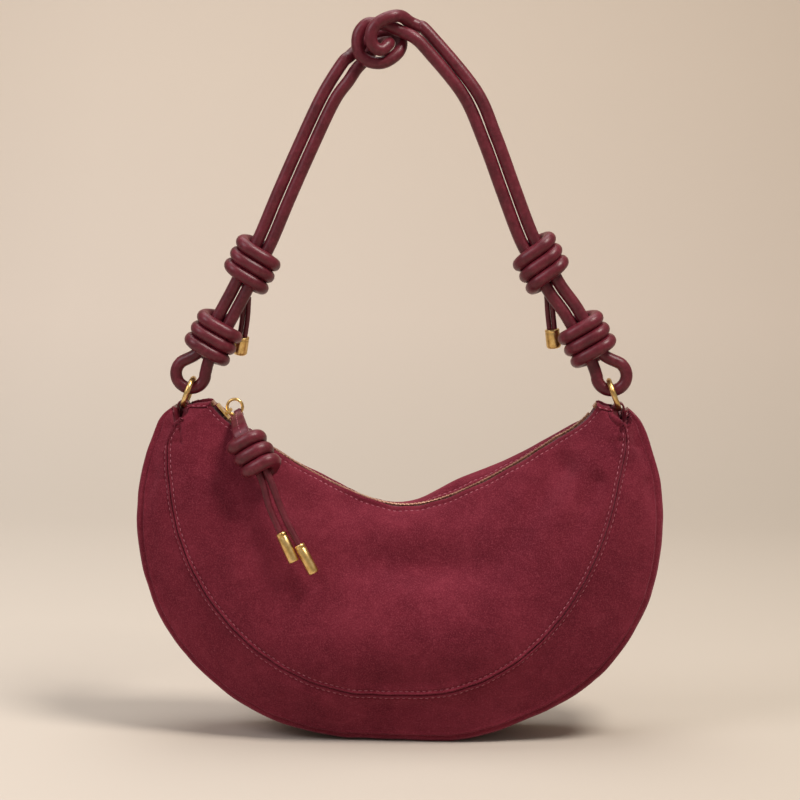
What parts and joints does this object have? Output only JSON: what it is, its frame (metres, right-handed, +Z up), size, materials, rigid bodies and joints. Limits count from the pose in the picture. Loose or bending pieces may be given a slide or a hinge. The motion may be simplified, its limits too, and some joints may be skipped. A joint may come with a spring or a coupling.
{
  "type": "shoulder bag",
  "caption": "Half moon suede shoulder bag with a curved zip, brass rings, a knotted rolled-leather strap and a knotted cord pull.",
  "frame": {"origin": "middle of the flat of the base, on the floor", "axes": "+Z up, the front with the zip pull faces -Y, +X to the right as seen from the front"},
  "size_m": [0.3, 0.0841, 0.4153],
  "materials": {
    "suede": "napped suede, matte",
    "smooth_leather": "smooth leather, satin",
    "lining_cloth": "woven cotton, matte",
    "zip_tape": "woven tape, matte",
    "zip_metal": "dull brass teeth",
    "brass": "antique brass, satin"
  },
  "bodies": {
    "bag": {"front_panel": "suede", "front_band": "suede", "gusset": "suede", "back_band": "suede", "back_panel": "suede", "lining": "lining_cloth", "slip_pocket": "lining_cloth", "zip_tape_front": "zip_tape", "zip_tape_back": "zip_tape", "zip_teeth_front": "zip_metal", "zip_teeth_back": "zip_metal", "zip_stop_left": "zip_metal", "zip_stop_right": "zip_metal", "zip_end_cover_left": "suede", "zip_end_cover_right": "suede", "ring_tab_left": "smooth_leather", "ring_tab_right": "smooth_leather"},
    "slider": {"zip_slider": "brass"},
    "pull_ring_body": {"pull_ring": "brass"},
    "pull": {"pull_tab": "smooth_leather", "pull_knot": "smooth_leather", "pull_cord_short": "smooth_leather", "pull_cord_long": "smooth_leather", "pull_cap_short": "brass", "pull_cap_long": "brass"},
    "strap": {"strap_cord_front": "smooth_leather", "strap_cord_back": "smooth_leather", "strap_loop_left": "smooth_leather", "strap_loop_right": "smooth_leather", "knot_left_lower": "smooth_leather", "knot_left_upper": "smooth_leather", "knot_right_lower": "smooth_leather", "knot_right_upper": "smooth_leather", "tail_left": "smooth_leather", "tail_right": "smooth_leather", "tail_cap_left": "brass", "tail_cap_right": "brass"},
    "left_ring": {"ring_left": "brass"},
    "right_ring": {"ring_right": "brass"}
  },
  "joints": [
    {"name": "zip_slide", "type": "hinge", "parent": "bag", "child": "slider", "pos_m": [0.002, 0, 0.27506], "axis": [0, -1, 0], "range_deg": [0, 99.66]},
    {"name": "pull_ring_turn", "type": "hinge", "parent": "slider", "child": "pull_ring_body", "pos_m": [-0.09545, 0, 0.18965], "axis": [0, 1, 0], "range_deg": [-60, 15]},
    {"name": "pull_lift", "type": "hinge", "parent": "pull_ring_body", "child": "pull", "pos_m": [-0.09326, 0, 0.18606], "axis": [-0.8536, 0, -0.521], "range_deg": [0, 40]},
    {"name": "strap_swing", "type": "hinge", "parent": "bag", "child": "strap", "pos_m": [0, 0, 0.198], "axis": [-1, 0, 0], "range_deg": [-90, 90]},
    {"name": "left_ring_turn", "type": "hinge", "parent": "bag", "child": "left_ring", "pos_m": [-0.1224, 0, 0.198], "axis": [0.9397, 0, -0.342], "continuous": true},
    {"name": "right_ring_turn", "type": "hinge", "parent": "bag", "child": "right_ring", "pos_m": [0.1224, 0, 0.198], "axis": [0.9397, 0, 0.342], "continuous": true}
  ]
}
